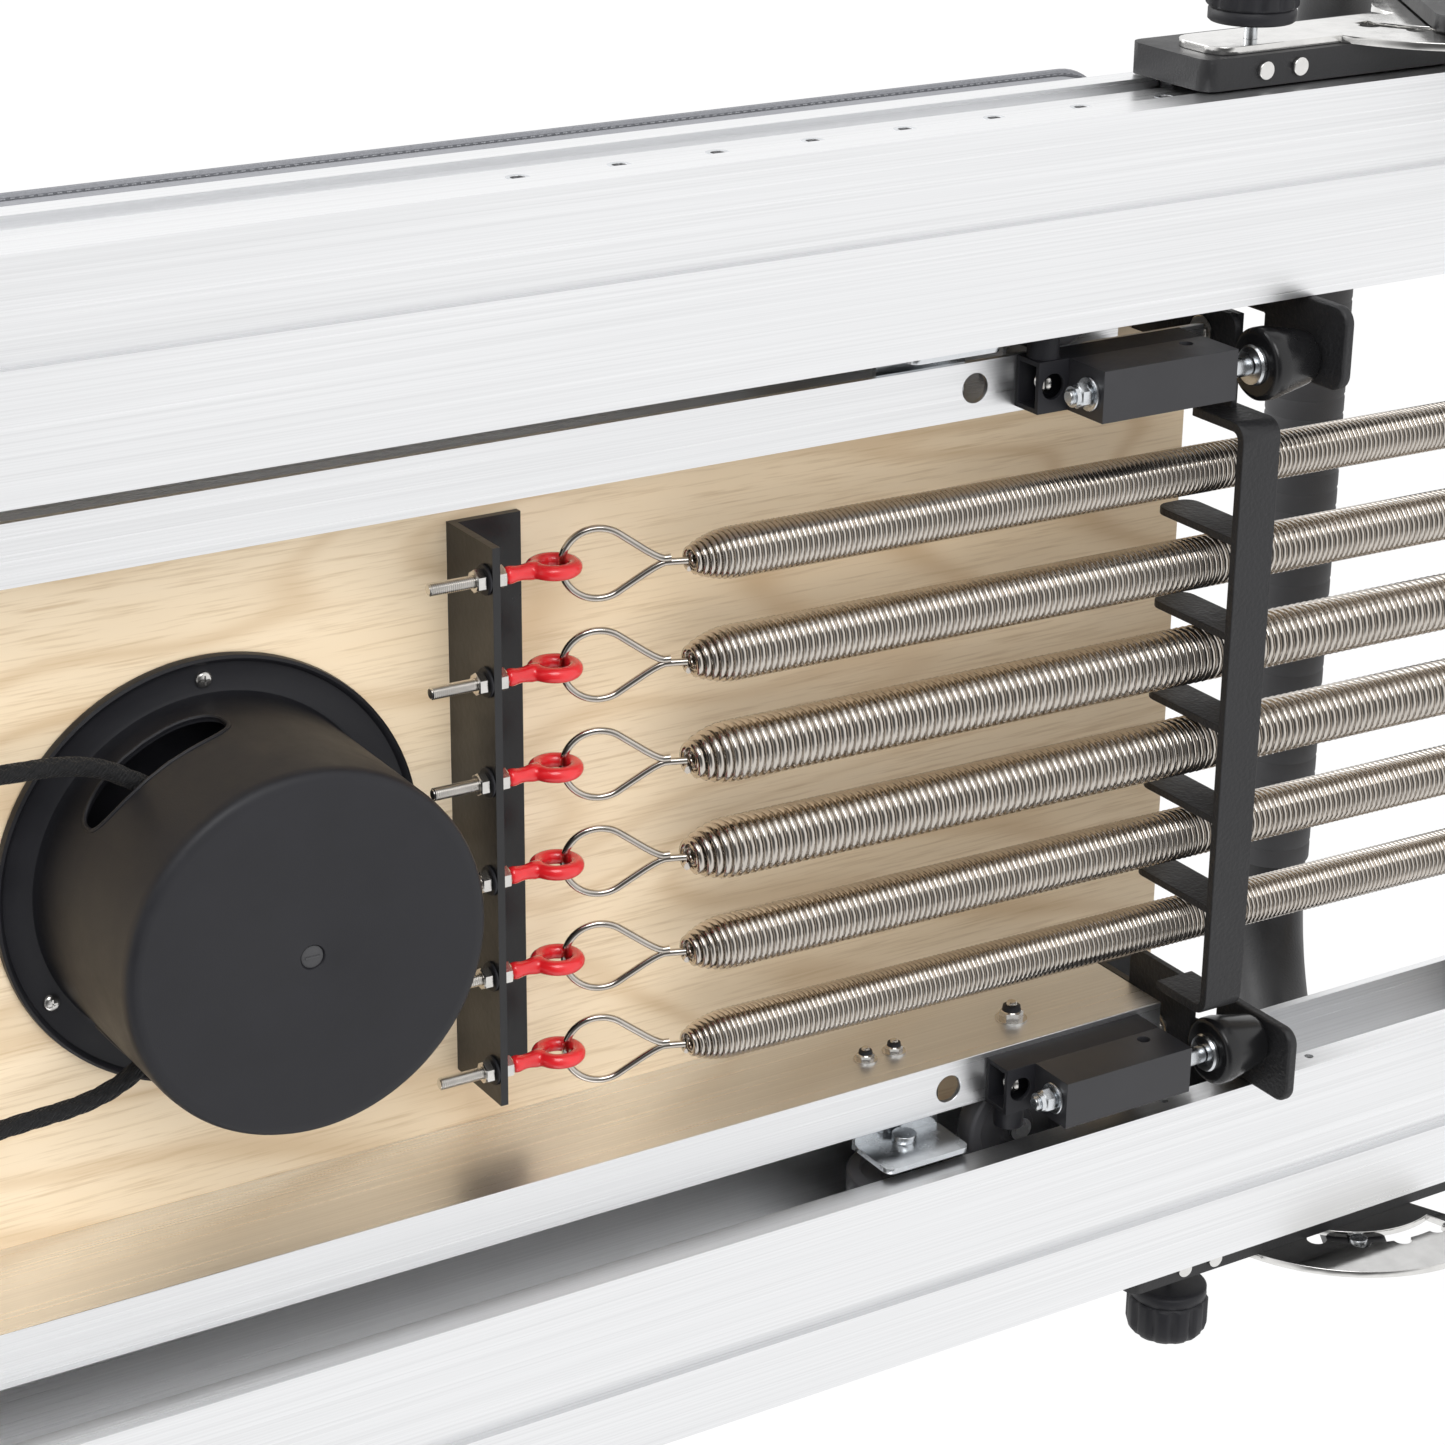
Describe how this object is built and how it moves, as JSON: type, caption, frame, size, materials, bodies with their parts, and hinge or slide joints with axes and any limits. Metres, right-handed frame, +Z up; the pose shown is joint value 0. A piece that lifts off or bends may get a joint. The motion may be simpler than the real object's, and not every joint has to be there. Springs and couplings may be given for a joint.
{
  "type": "pilates reformer",
  "caption": "Sprung carriage on aluminium rails with a notched tilting footbar, rope reel, pulleys, mat and shoulder rests.",
  "frame": {"origin": "on the floor, under the middle of the whole object's box", "axes": "+X along the rails to the foot end, +Y across, +Z up"},
  "size_m": [2.36, 0.771, 0.5236],
  "materials": {
    "rail": "clear anodised, brushed along its length",
    "channel": "brushed sheet",
    "black_steel": "black powder coat",
    "black_moulding": "matt moulded",
    "charcoal_rubber": "matt",
    "zinc": "bright zinc plate",
    "nickel": "nickel plated spring wire",
    "red_vinyl": "dipped red vinyl",
    "maple": "light maple veneer, satin",
    "upholstery": "grey stitched vinyl",
    "shoulder_vinyl": "grey vinyl",
    "rope": "braided cord",
    "webbing": "woven webbing",
    "gloss_rubber": "gloss moulded rubber",
    "wheel": "urethane",
    "polished_plate": "bright nickel plate"
  },
  "bodies": {
    "frame": {"rail_left": "rail", "rail_right": "rail", "rail_end_caps": "black_moulding", "foot_crossmember": "black_steel", "head_crossmember": "black_steel", "legs": "black_steel", "levelling_feet": "charcoal_rubber", "frame_bolts": "zinc", "spring_bar": "black_steel", "standing_platform": "maple", "platform_pad": "charcoal_rubber", "stop_brackets": "black_steel", "riser_posts": "black_steel"},
    "pulley_swivel_left": {"pulley_yoke_left": "zinc"},
    "pulley_swivel_right": {"pulley_yoke_right": "zinc"},
    "pulley_left": {"pulley_wheel_left": "wheel"},
    "pulley_right": {"pulley_wheel_right": "wheel"},
    "carriage": {"board": "maple", "mat": "upholstery", "channel_left": "channel", "channel_right": "channel", "carriage_fasteners": "zinc", "spring_anchor": "black_steel", "eyebolts": "zinc", "eye_rings": "red_vinyl", "springs_light": "nickel", "springs_medium": "nickel", "springs_heavy": "nickel", "comb": "black_steel", "comb_hangers": "black_steel", "bumper_carriers": "black_moulding", "bumper_blocks": "black_moulding", "bumper_rods": "zinc", "bumpers": "gloss_rubber", "wheel_brackets": "zinc", "axle_bolts": "zinc", "reel_housing": "black_moulding", "ropes": "rope", "hand_loops": "webbing", "carriage_sockets": "black_moulding"},
    "reel": {"reel_spool": "black_moulding"},
    "wheels_front": {"front_wheels": "wheel"},
    "wheels_rear": {"rear_wheels": "wheel"},
    "roller_front_left": {"guide_roller_front_left": "wheel"},
    "roller_front_right": {"guide_roller_front_right": "wheel"},
    "roller_rear_left": {"guide_roller_rear_left": "wheel"},
    "roller_rear_right": {"guide_roller_rear_right": "wheel"},
    "shoulder_rest_left": {"shoulder_post_left": "zinc", "shoulder_pad_left": "shoulder_vinyl"},
    "shoulder_rest_right": {"shoulder_post_right": "zinc", "shoulder_pad_right": "shoulder_vinyl"},
    "head_cushion": {"headrest": "upholstery"},
    "trolley": {"trolley_slides": "black_moulding", "sector_plates": "polished_plate"},
    "footbar_frame": {"footbar": "black_steel", "footbar_grip": "charcoal_rubber"},
    "latch_left": {"latch_pin_left": "zinc"},
    "latch_right": {"latch_pin_right": "zinc"},
    "knob_left": {"pull_knob_left": "black_moulding"},
    "knob_right": {"pull_knob_right": "black_moulding"}
  },
  "joints": [
    {"name": "carriage_slide", "type": "slide", "parent": "frame", "child": "carriage", "axis": [-1, 0, 0], "range_m": [0, 0.88]},
    {"name": "trolley_slide", "type": "slide", "parent": "frame", "child": "trolley", "axis": [1, 0, 0], "range_m": [-0.4064, 0.1016]},
    {"name": "footbar_fold", "type": "hinge", "parent": "trolley", "child": "footbar_frame", "pos_m": [0.86, 0, 0.265], "axis": [0, 1, 0], "range_deg": [-40, 40]},
    {"name": "latch_left_slide", "type": "slide", "parent": "footbar_frame", "child": "latch_left", "axis": [-0.5075, 0, -0.8616], "range_m": [0, 0.006]},
    {"name": "latch_right_slide", "type": "slide", "parent": "footbar_frame", "child": "latch_right", "axis": [-0.5075, 0, -0.8616], "range_m": [0, 0.006]},
    {"name": "knob_left_push", "type": "slide", "parent": "trolley", "child": "knob_left", "axis": [0, -1, 0], "range_m": [0, 0.008]},
    {"name": "knob_right_push", "type": "slide", "parent": "trolley", "child": "knob_right", "axis": [0, 1, 0], "range_m": [0, 0.008]},
    {"name": "headrest_tilt", "type": "hinge", "parent": "carriage", "child": "head_cushion", "pos_m": [0.006, 0, 0.3378], "axis": [0, 1, 0], "range_deg": [0, 25]},
    {"name": "shoulder_left_lift", "type": "slide", "parent": "carriage", "child": "shoulder_rest_left", "axis": [0, 0, 1], "range_m": [0, 0.115]},
    {"name": "shoulder_right_lift", "type": "slide", "parent": "carriage", "child": "shoulder_rest_right", "axis": [0, 0, 1], "range_m": [0, 0.115]},
    {"name": "reel_spin", "type": "hinge", "parent": "carriage", "child": "reel", "pos_m": [0.182, 0.005, 0.255], "axis": [0, 0, 1], "continuous": true},
    {"name": "pulley_left_swivel", "type": "hinge", "parent": "frame", "child": "pulley_swivel_left", "pos_m": [-1.125, 0.272, 0.425], "axis": [0, 0, 1], "range_deg": [-60, 60]},
    {"name": "pulley_left_spin", "type": "hinge", "parent": "pulley_swivel_left", "child": "pulley_left", "pos_m": [-1.087, 0.272, 0.48], "axis": [0, 1, 0], "continuous": true},
    {"name": "pulley_right_swivel", "type": "hinge", "parent": "frame", "child": "pulley_swivel_right", "pos_m": [-1.125, -0.272, 0.425], "axis": [0, 0, 1], "range_deg": [-60, 60]},
    {"name": "pulley_right_spin", "type": "hinge", "parent": "pulley_swivel_right", "child": "pulley_right", "pos_m": [-1.087, -0.272, 0.48], "axis": [0, 1, 0], "continuous": true},
    {"name": "wheels_front_spin", "type": "hinge", "parent": "carriage", "child": "wheels_front", "pos_m": [0.534, 0, 0.2458], "axis": [0, 1, 0], "continuous": true},
    {"name": "wheels_rear_spin", "type": "hinge", "parent": "carriage", "child": "wheels_rear", "pos_m": [-0.01, 0, 0.2458], "axis": [0, 1, 0], "continuous": true},
    {"name": "roller_front_left_spin", "type": "hinge", "parent": "carriage", "child": "roller_front_left", "pos_m": [0.612, 0.2305, 0.259], "axis": [0, 0, 1], "continuous": true},
    {"name": "roller_front_right_spin", "type": "hinge", "parent": "carriage", "child": "roller_front_right", "pos_m": [0.612, -0.2305, 0.259], "axis": [0, 0, 1], "continuous": true},
    {"name": "roller_rear_left_spin", "type": "hinge", "parent": "carriage", "child": "roller_rear_left", "pos_m": [-0.088, 0.2305, 0.259], "axis": [0, 0, 1], "continuous": true},
    {"name": "roller_rear_right_spin", "type": "hinge", "parent": "carriage", "child": "roller_rear_right", "pos_m": [-0.088, -0.2305, 0.259], "axis": [0, 0, 1], "continuous": true}
  ],
  "couplings": [
    {"joint": "wheels_front_spin", "follows": "carriage_slide", "rad_per_m": -33.003},
    {"joint": "wheels_rear_spin", "follows": "carriage_slide", "rad_per_m": -33.003},
    {"joint": "roller_front_left_spin", "follows": "carriage_slide", "rad_per_m": -32.258},
    {"joint": "roller_front_right_spin", "follows": "carriage_slide", "rad_per_m": 32.258},
    {"joint": "roller_rear_left_spin", "follows": "carriage_slide", "rad_per_m": -32.258},
    {"joint": "roller_rear_right_spin", "follows": "carriage_slide", "rad_per_m": 32.258}
  ]
}
